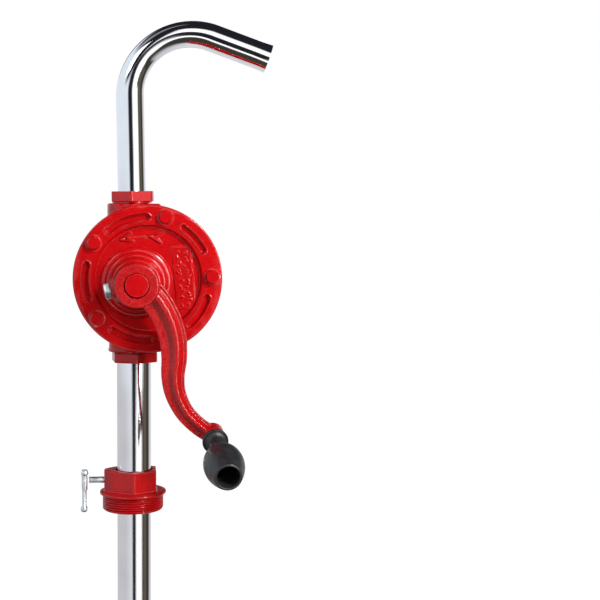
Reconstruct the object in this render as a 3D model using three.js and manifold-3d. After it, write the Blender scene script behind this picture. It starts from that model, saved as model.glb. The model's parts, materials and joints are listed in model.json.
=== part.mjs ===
// A rotary vane hand pump for emptying drums.
// Millimetres, +Z up, +X to the right and +Y away from whoever turns the crank. The origin is on the
// axis of the suction tube, in the seat under the flange of the bung adapter.

import * as THREE from 'three';
import { mergeVertices } from 'three/addons/utils/BufferGeometryUtils.js';
import Module from 'manifold-3d';

const wasm = await Module();
wasm.setup();

// ---- Driving dimensions ----

const CLEARANCE = 0.3;

// The chamber is round. The rotor turns on the shaft axis, which lies off the chamber's centre.
const CHAMBER = { x: 13.3, z: 213.8, radius: 52, front: -22, rear: 22 };
const SHAFT = { x: 2.6, z: 210, radius: 11.4, end: -79.6 };
const ROTOR = { radius: 40, discFront: -28.3, front: -23, rear: 21.6 };

const CASING = { radius: 59, rear: 30, flangeRadius: 69.6, flangeRear: -11 };
const REAR_PAD = { radius: 20, proud: 4 };
const BOLT_BOSS = { radius: 9, rear: 0, inset: 2 };
const NECK = { x: 0.5, halfWidth: 26.5, halfDepth: 21, corner: 16 };
const GASKET_THICKNESS = 0.8;
const COVER = { radius: 70.6, back: -22.8, web: -33.5, rim: -38, rimInnerRadius: 49.5 };
const COVER_BOSS_STEPS = [
  { radius: 32.4, front: -37.5 },
  { radius: 29, front: -42 },
  { radius: 26, front: -50 },
];
const BUSH = { outerRadius: 14.8, back: -29, front: -44 };
const SEAL = { back: -44.4, front: -48 };

const BOLT = { count: 5, circleRadius: 61, firstAngle: 2, radius: 4, flats: 13, head: 5.5, reach: 30 };
const BOLT_HOLE_END = -3;

// The long recesses in the cover's rim: the bearing of each one's middle, and half its sweep.
const RIM_SLOT = { radius: 59.2, halfWidth: 3.2, depth: 2.4 };
const RIM_SLOT_SPANS = [
  { middle: 40, half: 15 },
  { middle: 110, half: 19 },
  { middle: 182, half: 15 },
  { middle: 254, half: 18 },
  { middle: 327, half: 15 },
];

const VANE = { thickness: 8, root: 2, width: 44.2, innerY: -22.5 };
const VANE_SLOT_WIDTH = 8.6;
const VANE_SPRING = { radius: 2.3, wire: 0.45, pocketRadius: 3, pocketDepth: 15, coils: 7, spacing: 22 };

// Both tube ports lie in the mid-plane of the chamber, y = 0.
const OUTLET = { x: -1.6, z: 285, lift: 0.7, hexHeight: 10.1, flats: 38.5, threadRadius: 16.5, threadDepth: 14.5 };
const OUTLET_COUNTERBORE = { radius: 17.3, floor: 266 };
const OUTLET_LEAN = -1.05;
const INLET = { z: 139.5, threadRadius: 20.5, threadDepth: 12.5, hexHeight: 10.8, flats: 41.5 };
const INLET_COUNTERBORE = { radius: 20.8, floor: 157 };
const PORT_RADIUS = 12.5;

const SPOUT = { radius: 13.3, bore: 11.9, rise: 103.6, foot: -18.6, bendRadius: 59.2, bend: 110.2, end: 58.6 };

const SUCTION = { radius: 16.5, bore: 15, top: 156, bottom: -338 };
const EXTENSION = { radius: 14, bore: 12.5, top: 52, bottom: -378 };
const COLLAR = { radius: 19, top: -322, grooveFloor: -342.5, bottom: -348 };

const HUB = { radius: 21, front: -80, back: -52, bore: 11.8 };
const ARM = { front: -72, back: -60 };
const LUG = { angle: 192, radius: 8.8, length: 23.6 };
const CLAMP_BOLT = { radius: 5, flats: 14.6, head: 5.3, gap: 1, tip: 13 };

// The crank arm's centre line, seen from the front, with its half width at each point.
const ARM_LINE = [
  { x: 2.6, z: 210, half: 14 },
  { x: 16, z: 201, half: 13.6 },
  { x: 28.5, z: 183, half: 13.2 },
  { x: 35.6, z: 163, half: 12.8 },
  { x: 37.4, z: 143, half: 12 },
  { x: 36.2, z: 125, half: 10.9 },
  { x: 38.6, z: 108, half: 9.8 },
  { x: 47, z: 90.5, half: 8.8 },
  { x: 60, z: 77, half: 8.4 },
  { x: 74.1, z: 67.7, half: 8.4 },
];

// The grip's pin leans out and down from the crank's plane.
const PIN = { x: 74.1, y: -66, z: 67.7, lean: 12.9, bearing: -68.5, radius: 4, tip: 58, headRadius: 7 };
const EYE = { radius: 11.2, back: -8, front: 6.5 };
const GRIP = { back: 7, bore: 4.3, hollow: 10 };

const ADAPTER = { bore: 18.3, flats: 43, top: 24, flangeRadius: 32.5, flange: 3, threadRadius: 29.8, threadDepth: 14 };
const ADAPTER_LUG = { reach: 29.2, halfWidth: 5, baseHalfWidth: 12 };
const SCREW = { z: 13.7, radius: 3.1, tip: -19.2, headRadius: 4.1, headStart: -42.5, headEnd: -56.8 };
const CLAMP_PAD_TIP = -16.8;
const TOMMY_BAR = { x: -48.3, radius: 2.2, top: 10.4, bottom: -31.6, endRadius: 3.6, endLength: 6 };

const FRONT_TO_BACK = new THREE.Vector3(0, 1, 0);
const LEFT_TO_RIGHT = new THREE.Vector3(1, 0, 0);
const UPWARD = new THREE.Vector3(0, 0, 1);

// ---- Materials ----

const redEnamel = new THREE.MeshStandardMaterial({ color: 0xc8161d, roughness: 0.3, metalness: 0 });
const chrome = new THREE.MeshStandardMaterial({ color: 0xe4e5e8, roughness: 0.08, metalness: 1 });
const zincPlate = new THREE.MeshStandardMaterial({ color: 0xc3cbcc, roughness: 0.35, metalness: 1 });
const steel = new THREE.MeshStandardMaterial({ color: 0x9a9a9c, roughness: 0.4, metalness: 1 });
const bronze = new THREE.MeshStandardMaterial({ color: 0xb08040, roughness: 0.45, metalness: 1 });
const castIron = new THREE.MeshStandardMaterial({ color: 0x5a5a5c, roughness: 0.7, metalness: 0.6 });
const blackPlastic = new THREE.MeshStandardMaterial({ color: 0x2e2e30, roughness: 0.45, metalness: 0 });
const carbon = new THREE.MeshStandardMaterial({ color: 0x2a2a2c, roughness: 0.7, metalness: 0 });
const rubber = new THREE.MeshStandardMaterial({ color: 0x1c1c1c, roughness: 0.8, metalness: 0 });

// ---- Solids ----

function radians(degrees) {
  return THREE.MathUtils.degToRad(degrees);
}

function solidOf(geometry) {
  const bare = geometry.clone();
  bare.deleteAttribute('normal');
  bare.deleteAttribute('uv');
  const merged = mergeVertices(bare, 1e-4);
  const index = merged.index.array;
  const triangles = [];
  for (let i = 0; i < index.length; i += 3) {
    const [a, b, c] = [index[i], index[i + 1], index[i + 2]];
    if (a !== b && b !== c && c !== a) triangles.push(a, b, c);
  }
  const vertProperties = merged.attributes.position.array;
  return new wasm.Manifold(new wasm.Mesh({ numProp: 3, vertProperties, triVerts: new Uint32Array(triangles) }));
}

function geometryOf(solid) {
  const { vertProperties, triVerts } = solid.getMesh();
  const geometry = new THREE.BufferGeometry();
  geometry.setAttribute('position', new THREE.BufferAttribute(new Float32Array(vertProperties), 3));
  geometry.setIndex(new THREE.BufferAttribute(new Uint32Array(triVerts), 1));
  geometry.computeVertexNormals();
  return geometry;
}

function join(...geometries) {
  return geometryOf(geometries.map(solidOf).reduce((whole, piece) => whole.add(piece)));
}

function cut(base, ...tools) {
  return geometryOf(tools.map(solidOf).reduce((left, tool) => left.subtract(tool), solidOf(base)));
}

// Points a geometry built along +Y along another direction, then moves it.
function along(geometry, direction, x = 0, y = 0, z = 0) {
  const turn = new THREE.Quaternion().setFromUnitVectors(FRONT_TO_BACK, direction);
  geometry.applyQuaternion(turn);
  geometry.translate(x, y, z);
  return geometry;
}

// A turned piece: its profile is a closed outline of [radius, height] pairs, anticlockwise.
function turned(profile, sides = 40) {
  const outline = [...profile, profile[0]].map(([radius, height]) => new THREE.Vector2(radius, height));
  return new THREE.LatheGeometry(outline, sides);
}

function rod(radius, from, to, sides = 40) {
  return turned([[0, from], [radius, from], [radius, to], [0, to]], sides);
}

function sleeve(outer, inner, from, to, sides = 40) {
  return turned([[inner, from], [outer, from], [outer, to], [inner, to]], sides);
}

function ring(middle, section, sides = 24) {
  const corners = 6;
  const profile = [];
  for (let i = 0; i < corners; i += 1) {
    const angle = (2 * Math.PI * i) / corners;
    profile.push([middle + section * Math.cos(angle), section * Math.sin(angle)]);
  }
  return turned(profile, sides);
}

function hexagon(flats, from, to, turn = 0) {
  const prism = new THREE.CylinderGeometry(flats / Math.sqrt(3), flats / Math.sqrt(3), to - from, 6);
  prism.rotateY(radians(turn));
  prism.translate(0, (from + to) / 2, 0);
  return prism;
}

// A prism on an outline drawn in x and z, from one y to another.
function plate(outline, from, to) {
  const shape = new THREE.Shape(outline.map(([x, z]) => new THREE.Vector2(x, z)));
  const prism = new THREE.ExtrudeGeometry(shape, { depth: to - from, bevelEnabled: false });
  prism.rotateX(Math.PI / 2);
  prism.translate(0, to, 0);
  return prism;
}

function onCircle(centre, radius, degrees) {
  return [centre.x + radius * Math.cos(radians(degrees)), centre.z + radius * Math.sin(radians(degrees))];
}

function mesh(name, geometry, material) {
  const piece = new THREE.Mesh(geometry, material);
  piece.name = name;
  return piece;
}

// ---- Casing and cover ----

function boltAngles() {
  return Array.from({ length: BOLT.count }, (_, i) => BOLT.firstAngle + (360 / BOLT.count) * i);
}

function boltHoles(from, to) {
  return boltAngles().map((angle) => {
    const [x, z] = onCircle(CHAMBER, BOLT.circleRadius, angle);
    return rod(BOLT.radius + CLEARANCE, from, to, 12).translate(x, 0, z);
  });
}

// The neck is a rounded block, so that it stays behind the cover.
function neck(bottom, top) {
  const shape = new THREE.Shape();
  const right = NECK.halfWidth - NECK.corner;
  const front = NECK.halfDepth - NECK.corner;
  shape.absarc(right, -front, NECK.corner, -Math.PI / 2, 0);
  shape.absarc(right, front, NECK.corner, 0, Math.PI / 2);
  shape.absarc(-right, front, NECK.corner, Math.PI / 2, Math.PI);
  shape.absarc(-right, -front, NECK.corner, Math.PI, 1.5 * Math.PI);
  const block = new THREE.ExtrudeGeometry(shape, { depth: top - bottom, bevelEnabled: false, curveSegments: 4 });
  return block.translate(NECK.x, 0, bottom);
}

function pumpCasing() {
  const body = rod(CASING.radius, CHAMBER.front, CASING.rear, 48).translate(CHAMBER.x, 0, CHAMBER.z);
  const flange = rod(CASING.flangeRadius, CHAMBER.front, CASING.flangeRear, 60);
  flange.translate(CHAMBER.x, 0, CHAMBER.z);
  const rearPad = rod(REAR_PAD.radius, CASING.rear - 1, CASING.rear + REAR_PAD.proud, 32);
  rearPad.translate(SHAFT.x, 0, SHAFT.z);
  const bosses = boltAngles().map((angle) => {
    const [x, z] = onCircle(CHAMBER, BOLT.circleRadius - BOLT_BOSS.inset, angle);
    return rod(BOLT_BOSS.radius, CHAMBER.front, BOLT_BOSS.rear, 12).translate(x, 0, z);
  });
  const outside = join(body, flange, rearPad, ...bosses, neck(CHAMBER.z, OUTLET.z), neck(INLET.z, CHAMBER.z));

  const chamber = rod(CHAMBER.radius, CHAMBER.front - 1, CHAMBER.rear, 48).translate(CHAMBER.x, 0, CHAMBER.z);
  const outletSeat = rod(OUTLET_COUNTERBORE.radius, OUTLET_COUNTERBORE.floor, OUTLET.z + 1);
  const inletSeat = rod(INLET_COUNTERBORE.radius, INLET.z - 1, INLET_COUNTERBORE.floor);
  const port = rod(PORT_RADIUS, INLET.z, OUTLET.z);
  return mesh('pump_casing', cut(
    outside,
    chamber,
    along(outletSeat, UPWARD, OUTLET.x),
    along(inletSeat, UPWARD),
    along(port, UPWARD, OUTLET.x / 2),
    ...boltHoles(CHAMBER.front - 1, BOLT_HOLE_END),
  ), redEnamel);
}

// One long recess in the cover's rim, following the rim round.
function rimSlot({ middle, half }) {
  const steps = 8;
  const bearings = Array.from({ length: steps + 1 }, (_, i) => middle - half + (2 * half * i) / steps);
  const outer = bearings.map((bearing) => onCircle(CHAMBER, RIM_SLOT.radius + RIM_SLOT.halfWidth, bearing));
  const inner = bearings.map((bearing) => onCircle(CHAMBER, RIM_SLOT.radius - RIM_SLOT.halfWidth, bearing));
  return plate([...outer, ...inner.reverse()], COVER.rim - 1, COVER.rim + RIM_SLOT.depth);
}

function frontCover() {
  const disc = rod(COVER.radius, COVER.rim, COVER.back, 60).translate(CHAMBER.x, 0, CHAMBER.z);
  const dish = rod(COVER.rimInnerRadius, COVER.rim - 1, COVER.web, 48).translate(CHAMBER.x, 0, CHAMBER.z);
  const steps = COVER_BOSS_STEPS.map(({ radius, front }) => (
    rod(radius, front, COVER.web + 1, 36).translate(SHAFT.x, 0, SHAFT.z)
  ));
  const rotorRecess = rod(ROTOR.radius + 0.4, ROTOR.discFront - CLEARANCE, COVER.back + 1, 40);
  const bushSeat = rod(BUSH.outerRadius + 0.2, SEAL.front - CLEARANCE, COVER.back, 32);
  const shaftHole = rod(SHAFT.radius + CLEARANCE, COVER_BOSS_STEPS[2].front - 1, COVER.back, 32);
  const bores = [rotorRecess, bushSeat, shaftHole].map((bore) => bore.translate(SHAFT.x, 0, SHAFT.z));
  return mesh('front_cover', cut(
    join(cut(disc, dish), ...steps),
    ...bores,
    ...RIM_SLOT_SPANS.map(rimSlot),
    ...boltHoles(COVER.rim - 1, COVER.back + 1),
  ), redEnamel);
}

function coverGasket() {
  const inner = CHAMBER.radius + 0.5;
  const sheet = sleeve(CASING.flangeRadius - 0.5, inner, COVER.back, COVER.back + GASKET_THICKNESS, 48);
  sheet.translate(CHAMBER.x, 0, CHAMBER.z);
  return mesh('cover_gasket', cut(sheet, ...boltHoles(COVER.back - 1, CHAMBER.front + 1)), rubber);
}

function coverBolt(number, angle) {
  const head = hexagon(BOLT.flats, COVER.rim - BOLT.head, COVER.rim, 12 * number);
  const shank = rod(BOLT.radius, COVER.rim - 1, COVER.rim + BOLT.reach, 12);
  const [x, z] = onCircle(CHAMBER, BOLT.circleRadius, angle);
  return mesh(`cover_bolt_${number}`, join(head, shank).translate(x, 0, z), redEnamel);
}

function shaftBush() {
  const bush = sleeve(BUSH.outerRadius, SHAFT.radius + 0.15, BUSH.front, BUSH.back, 32);
  return mesh('shaft_bush', bush.translate(SHAFT.x, 0, SHAFT.z), bronze);
}

function shaftSeal() {
  const seal = sleeve(BUSH.outerRadius, SHAFT.radius + 0.1, SEAL.front, SEAL.back, 32);
  return mesh('shaft_seal', seal.translate(SHAFT.x, 0, SHAFT.z), rubber);
}

// ---- Rotor, vanes and springs ----

function rotorShaft() {
  const shaft = rod(SHAFT.radius, SHAFT.end, ROTOR.discFront + 1, 32);
  const disc = rod(ROTOR.radius, ROTOR.discFront, ROTOR.front + 1, 40);
  const drum = rod(ROTOR.radius, ROTOR.front, ROTOR.rear, 40);
  const slotLength = ROTOR.rear - ROTOR.front + 1;
  const slot = new THREE.BoxGeometry(VANE_SLOT_WIDTH, slotLength, 2 * ROTOR.radius + 2);
  slot.translate(0, ROTOR.front + slotLength / 2, 0);
  const turn = slotTurn();
  const slotted = cut(join(shaft, disc, drum), slot.rotateY(turn));
  return mesh('rotor_shaft', slotted.translate(SHAFT.x, 0, SHAFT.z), castIron);
}

// At rest the slot lies square to the line from the shaft to the chamber's centre.
function slotTurn() {
  return Math.atan2(CHAMBER.x - SHAFT.x, CHAMBER.z - SHAFT.z) + Math.PI / 2;
}

// A vane lies along its slot, drawn back flush with the rotor; side is +1 or -1 along the slot.
function vane(number, side) {
  const length = ROTOR.radius - 0.6 - VANE.root;
  const blade = new THREE.BoxGeometry(VANE.thickness, VANE.width, length);
  blade.translate(0, VANE.innerY + VANE.width / 2, side * (VANE.root + length / 2));
  const pockets = [-1, 1].map((end) => {
    const pocket = rod(VANE_SPRING.pocketRadius, 0, VANE.root + VANE_SPRING.pocketDepth, 12);
    const outward = new THREE.Vector3(0, 0, side);
    return along(pocket, outward, 0, (end * VANE_SPRING.spacing) / 2, 0);
  });
  const drilled = cut(blade, ...pockets).rotateY(slotTurn());
  return mesh(`vane_${number}`, drilled.translate(SHAFT.x, 0, SHAFT.z), carbon);
}

class Helix extends THREE.Curve {
  constructor(radius, length, coils) {
    super();
    this.radius = radius;
    this.length = length;
    this.coils = coils;
  }

  getPoint(t, target = new THREE.Vector3()) {
    const angle = 2 * Math.PI * this.coils * t;
    return target.set(this.radius * Math.cos(angle), this.radius * Math.sin(angle), this.length * (t - 0.5));
  }
}

function vaneSpring(number, end) {
  const length = 2 * (VANE.root + VANE_SPRING.pocketDepth) - 1;
  const helix = new Helix(VANE_SPRING.radius, length, VANE_SPRING.coils);
  const wire = new THREE.Shape().absarc(0, 0, VANE_SPRING.wire, 0, 2 * Math.PI);
  const coil = new THREE.ExtrudeGeometry(wire, {
    extrudePath: helix,
    steps: VANE_SPRING.coils * 8,
    curveSegments: 2,
    bevelEnabled: false,
  });
  coil.translate(0, (end * VANE_SPRING.spacing) / 2, 0);
  coil.rotateY(slotTurn());
  return mesh(`vane_spring_${number}`, coil.translate(SHAFT.x, 0, SHAFT.z), steel);
}

// ---- Crank and grip ----

function pinDirection() {
  const lean = radians(PIN.lean);
  const bearing = radians(PIN.bearing);
  return new THREE.Vector3(
    Math.sin(lean) * Math.cos(bearing),
    -Math.cos(lean),
    Math.sin(lean) * Math.sin(bearing),
  );
}

function onPin(geometry) {
  return along(geometry, pinDirection(), PIN.x, PIN.y, PIN.z);
}

function armOutline() {
  const line = new THREE.SplineCurve(ARM_LINE.map(({ x, z }) => new THREE.Vector2(x, z)));
  const widths = new THREE.SplineCurve(ARM_LINE.map(({ half }, i) => new THREE.Vector2(i, half)));
  const steps = 24;
  const left = [];
  const right = [];
  for (let i = 0; i <= steps; i += 1) {
    const point = line.getPoint(i / steps);
    const heading = line.getTangent(i / steps);
    const half = widths.getPoint(i / steps).y;
    right.push([point.x - heading.y * half, point.y + heading.x * half]);
    left.push([point.x + heading.y * half, point.y - heading.x * half]);
  }
  return [...left, ...right.reverse()];
}

function lugDirection() {
  return new THREE.Vector3(Math.cos(radians(LUG.angle)), 0, Math.sin(radians(LUG.angle)));
}

function crankArm() {
  const middle = (HUB.front + HUB.back) / 2;
  const hub = rod(HUB.radius, HUB.front, HUB.back, 48).translate(SHAFT.x, 0, SHAFT.z);
  const lug = along(rod(LUG.radius, 0, LUG.length, 24), lugDirection(), SHAFT.x, middle, SHAFT.z);
  const eye = onPin(rod(EYE.radius, EYE.back, EYE.front, 32));
  const arm = plate(armOutline(), ARM.front, ARM.back);
  const bore = rod(HUB.bore, HUB.front - 1, HUB.back + 1, 32).translate(SHAFT.x, 0, SHAFT.z);
  const boltHole = rod(CLAMP_BOLT.radius + CLEARANCE, 0, LUG.length + 1, 16);
  const pinHole = onPin(rod(PIN.radius + CLEARANCE, EYE.back - 1, EYE.front + 1, 16));
  return mesh('crank_arm', cut(
    join(arm, hub, lug, eye),
    bore,
    along(boltHole, lugDirection(), SHAFT.x, middle, SHAFT.z),
    pinHole,
  ), redEnamel);
}

function crankBolt() {
  const middle = (HUB.front + HUB.back) / 2;
  const headStart = LUG.length + CLAMP_BOLT.gap;
  const shank = rod(CLAMP_BOLT.radius, CLAMP_BOLT.tip, headStart + 1, 16);
  const head = hexagon(CLAMP_BOLT.flats, headStart, headStart + CLAMP_BOLT.head);
  const bolt = join(shank, head);
  return mesh('crank_bolt', along(bolt, lugDirection(), SHAFT.x, middle, SHAFT.z), zincPlate);
}

function gripPin() {
  const shank = rod(PIN.radius, EYE.back - 2, PIN.tip, 16);
  const head = rod(PIN.headRadius, PIN.tip - 0.5, PIN.tip + 3, 20);
  const rivet = rod(PIN.radius + 2.5, EYE.back - 3, EYE.back - CLEARANCE, 16);
  return mesh('grip_pin', onPin(join(shank, head, rivet)), steel);
}

// A hollow pear-shaped grip with a flange at its root and an open outer end.
function grip() {
  const flange = GRIP.back + 6;
  const floor = PIN.tip - 1;
  const rim = flange + 3 + 80;
  const profile = [
    [GRIP.bore, GRIP.back],
    [9, GRIP.back],
    [9, flange],
    [11.5, flange],
    [11.5, flange + 3],
    [7.2, flange + 5],
    [7, flange + 12],
    [9.5, flange + 22],
    [14, flange + 34],
    [17.3, flange + 46],
    [18, flange + 55],
    [17.3, flange + 66],
    [14.8, flange + 76],
    [12.3, rim],
    [GRIP.hollow, rim],
    [GRIP.hollow, floor],
    [GRIP.bore, floor],
  ];
  return mesh('grip', onPin(turned(profile, 28)), blackPlastic);
}

// ---- Outlet: everything here leans with the spout ----

function outletBushing() {
  const hex = hexagon(OUTLET.flats, OUTLET.lift, OUTLET.hexHeight + OUTLET.lift, 5);
  const thread = rod(OUTLET.threadRadius, -OUTLET.threadDepth, 1, 36);
  const bore = rod(SPOUT.radius + CLEARANCE, -OUTLET.threadDepth - 1, OUTLET.hexHeight + 2, 32);
  return mesh('outlet_bushing', along(cut(join(hex, thread), bore), UPWARD), redEnamel);
}

function outletSeal() {
  const seal = ring(SPOUT.radius + 2, 1.6);
  return mesh('outlet_seal', along(seal, UPWARD, 0, 0, -OUTLET.threadDepth - 1.9), rubber);
}

class SpoutLine extends THREE.Curve {
  getPoint(t, target = new THREE.Vector3()) {
    const bend = radians(SPOUT.bend);
    const straight = SPOUT.rise - SPOUT.foot;
    const arc = SPOUT.bendRadius * bend;
    const run = t * (straight + arc + SPOUT.end);
    if (run < straight) return target.set(0, 0, SPOUT.foot + run);
    const turn = Math.min((run - straight) / SPOUT.bendRadius, bend);
    const past = Math.max(run - straight - arc, 0);
    return target.set(
      SPOUT.bendRadius * (1 - Math.cos(turn)) + past * Math.sin(turn),
      0,
      SPOUT.rise + SPOUT.bendRadius * Math.sin(turn) + past * Math.cos(turn),
    );
  }
}

function spout() {
  const wall = new THREE.Shape().absarc(0, 0, SPOUT.radius, 0, 2 * Math.PI);
  wall.holes.push(new THREE.Path().absarc(0, 0, SPOUT.bore, 0, 2 * Math.PI, true));
  const tube = new THREE.ExtrudeGeometry(wall, {
    extrudePath: new SpoutLine(),
    steps: 28,
    curveSegments: 9,
    bevelEnabled: false,
  });
  return mesh('spout', tube, chrome);
}

function outletGroup() {
  const group = new THREE.Group();
  group.add(outletBushing(), outletSeal(), spout());
  group.position.set(OUTLET.x, 0, OUTLET.z);
  group.rotation.y = radians(OUTLET_LEAN);
  return group;
}

// ---- Suction side ----

function inletBushing() {
  const hex = hexagon(INLET.flats, INLET.z - INLET.hexHeight, INLET.z - 0.05, 7);
  const thread = rod(INLET.threadRadius, INLET.z - 1, INLET.z + INLET.threadDepth, 36);
  const bore = rod(SUCTION.radius + CLEARANCE, INLET.z - 20, INLET.z + 20, 36);
  return mesh('inlet_bushing', along(cut(join(hex, thread), bore), UPWARD), redEnamel);
}

function inletSeal() {
  const seal = ring(SUCTION.radius + 2.2, 1.8);
  return mesh('inlet_seal', along(seal, UPWARD, 0, 0, INLET.z + INLET.threadDepth + 2.1), rubber);
}

function suctionTube() {
  const tube = sleeve(SUCTION.radius, SUCTION.bore, SUCTION.bottom, SUCTION.top, 32);
  return mesh('suction_tube', along(tube, UPWARD), chrome);
}

function extensionTube() {
  const stop = 3;
  const profile = [
    [EXTENSION.bore, EXTENSION.bottom],
    [EXTENSION.radius, EXTENSION.bottom],
    [EXTENSION.radius, EXTENSION.top - stop],
    [SUCTION.bore - 0.2, EXTENSION.top - stop],
    [SUCTION.bore - 0.2, EXTENSION.top],
    [EXTENSION.bore, EXTENSION.top],
  ];
  return mesh('extension_tube', along(turned(profile, 32), UPWARD), chrome);
}

function tubeCollar() {
  const profile = [
    [EXTENSION.radius + CLEARANCE, COLLAR.bottom],
    [COLLAR.radius, COLLAR.bottom],
    [COLLAR.radius, COLLAR.top],
    [SUCTION.radius + 0.15, COLLAR.top],
    [SUCTION.radius + 0.15, COLLAR.grooveFloor],
    [EXTENSION.radius + CLEARANCE, COLLAR.grooveFloor],
  ];
  return mesh('tube_collar', along(turned(profile, 32), UPWARD), zincPlate);
}

function collarSeal() {
  const seal = ring(15.4, 1.05);
  return mesh('collar_seal', along(seal, UPWARD, 0, 0, COLLAR.grooveFloor + 2), rubber);
}

// ---- Bung adapter and its clamp ----

// The hexagon's left corner is drawn out into a lug that holds the clamp screw.
function adapterBody() {
  const hex = hexagon(ADAPTER.flats, ADAPTER.flange - 1, ADAPTER.top, 0);
  const side = ADAPTER.flats / 2 - 1;
  const outline = [
    [-side, -ADAPTER_LUG.baseHalfWidth],
    [-side, ADAPTER_LUG.baseHalfWidth],
    [-ADAPTER_LUG.reach, ADAPTER_LUG.halfWidth],
    [-ADAPTER_LUG.reach, -ADAPTER_LUG.halfWidth],
  ];
  const lug = plate(outline, -ADAPTER.top, -ADAPTER.flange - 0.5).rotateX(-Math.PI / 2);
  return join(along(hex, UPWARD), lug);
}

function bungAdapter() {
  const flange = along(rod(ADAPTER.flangeRadius, 0, ADAPTER.flange, 48), UPWARD);
  const thread = along(rod(ADAPTER.threadRadius, -ADAPTER.threadDepth, 1, 48), UPWARD);
  const bore = along(rod(ADAPTER.bore, -ADAPTER.threadDepth - 1, ADAPTER.top + 1, 36), UPWARD);
  const under = along(rod(ADAPTER.threadRadius - 5, -ADAPTER.threadDepth - 1, -1, 36), UPWARD);
  const screwHole = rod(SCREW.radius + CLEARANCE, -ADAPTER_LUG.reach - 1, 0, 16);
  return mesh('bung_adapter', cut(
    join(adapterBody(), flange, thread),
    bore,
    under,
    along(screwHole, LEFT_TO_RIGHT, 0, 0, SCREW.z),
  ), redEnamel);
}

function clampPad() {
  const pad = rod(SCREW.radius - 0.2, SCREW.tip + 0.1, CLAMP_PAD_TIP, 16);
  return mesh('clamp_pad', along(pad, LEFT_TO_RIGHT, 0, 0, SCREW.z), bronze);
}

function clampScrew() {
  const shank = rod(SCREW.radius, SCREW.headStart - 1, SCREW.tip, 16);
  const head = rod(SCREW.headRadius, SCREW.headEnd, SCREW.headStart, 24);
  const screw = along(join(shank, head), LEFT_TO_RIGHT, 0, 0, SCREW.z);
  const crossHole = along(rod(TOMMY_BAR.radius + CLEARANCE, -10, 10, 16), UPWARD, TOMMY_BAR.x, 0, SCREW.z);
  return mesh('clamp_screw', cut(screw, crossHole), zincPlate);
}

// The upper end is a ball that rests on the screw's head; the lower end is hammered to a stub.
function tommyBar() {
  const ball = new THREE.SphereGeometry(TOMMY_BAR.endRadius, 12, 8);
  ball.translate(0, TOMMY_BAR.top - TOMMY_BAR.endRadius, 0);
  const bar = rod(TOMMY_BAR.radius, TOMMY_BAR.bottom + 1, TOMMY_BAR.top - 2, 12);
  const stub = rod(TOMMY_BAR.radius + 1.1, TOMMY_BAR.bottom, TOMMY_BAR.bottom + TOMMY_BAR.endLength, 12);
  const whole = along(join(ball, bar, stub), UPWARD, TOMMY_BAR.x, 0, SCREW.z);
  return mesh('tommy_bar', whole, zincPlate);
}

// ---- Assembly ----

const pump = new THREE.Group();
pump.add(pumpCasing(), frontCover(), coverGasket(), shaftBush(), shaftSeal());
boltAngles().forEach((angle, i) => pump.add(coverBolt(i + 1, angle)));
pump.add(rotorShaft());
[1, -1].forEach((side, i) => pump.add(vane(i + 1, side)));
[-1, 1].forEach((end, i) => pump.add(vaneSpring(i + 1, end)));
pump.add(crankArm(), crankBolt(), gripPin(), grip());
pump.add(outletGroup());
pump.add(inletBushing(), inletSeal(), suctionTube(), extensionTube(), tubeCollar(), collarSeal());
pump.add(bungAdapter(), clampPad(), clampScrew(), tommyBar());

export default pump;
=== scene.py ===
import json
import math

import bmesh
import bpy
import numpy as np
from mathutils import Matrix, Vector, noise


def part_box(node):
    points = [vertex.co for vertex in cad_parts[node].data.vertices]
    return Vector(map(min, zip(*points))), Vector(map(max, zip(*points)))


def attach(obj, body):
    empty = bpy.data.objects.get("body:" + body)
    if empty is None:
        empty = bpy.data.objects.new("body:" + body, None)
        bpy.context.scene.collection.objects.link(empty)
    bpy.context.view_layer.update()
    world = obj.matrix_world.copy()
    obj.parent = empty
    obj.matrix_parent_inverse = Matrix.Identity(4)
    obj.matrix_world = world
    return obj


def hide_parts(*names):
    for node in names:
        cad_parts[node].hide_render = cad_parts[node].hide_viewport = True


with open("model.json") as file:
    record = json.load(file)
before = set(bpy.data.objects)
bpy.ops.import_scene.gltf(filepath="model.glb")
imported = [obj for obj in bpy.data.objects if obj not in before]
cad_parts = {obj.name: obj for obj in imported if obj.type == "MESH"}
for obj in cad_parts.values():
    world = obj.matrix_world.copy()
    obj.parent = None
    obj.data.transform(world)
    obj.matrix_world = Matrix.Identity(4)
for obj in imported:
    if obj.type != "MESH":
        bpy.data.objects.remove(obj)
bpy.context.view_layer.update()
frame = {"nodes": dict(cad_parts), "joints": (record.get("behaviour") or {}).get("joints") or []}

# The pump is shaped in millimetres, in the CAD model's frame, and scaled to metres piece by piece.
MM = 0.001

# Where things are, from the CAD model.


def box_mm(node):
    low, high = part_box(node)
    return low / MM, high / MM


def middle_mm(node):
    low, high = box_mm(node)
    return (low + high) / 2


def joint(name):
    return next(j for j in frame["joints"] if j["name"] == name)


DISC = middle_mm("front_cover")
SHAFT = middle_mm("shaft_bush")
COVER_FRONT, COVER_BACK = box_mm("front_cover")[0].y, box_mm("front_cover")[1].y
CASING_REAR = box_mm("pump_casing")[1].y
CASING_TOP, CASING_BOTTOM = box_mm("pump_casing")[1].z, box_mm("pump_casing")[0].z
PIN_ROOT = Vector(joint("grip_spin")["pos_m"]) / MM
PIN_AXIS = Vector(joint("grip_spin")["axis"])
SPOUT_ROOT = Vector(joint("spout_swivel")["pos_m"]) / MM
SPOUT_AXIS = Vector(joint("spout_swivel")["axis"])
SCREW_HEIGHT = middle_mm("clamp_screw").z

FRONTWARD = Vector((0, -1, 0))
UPWARD = Vector((0, 0, 1))
LEFTWARD = Vector((-1, 0, 0))

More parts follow.
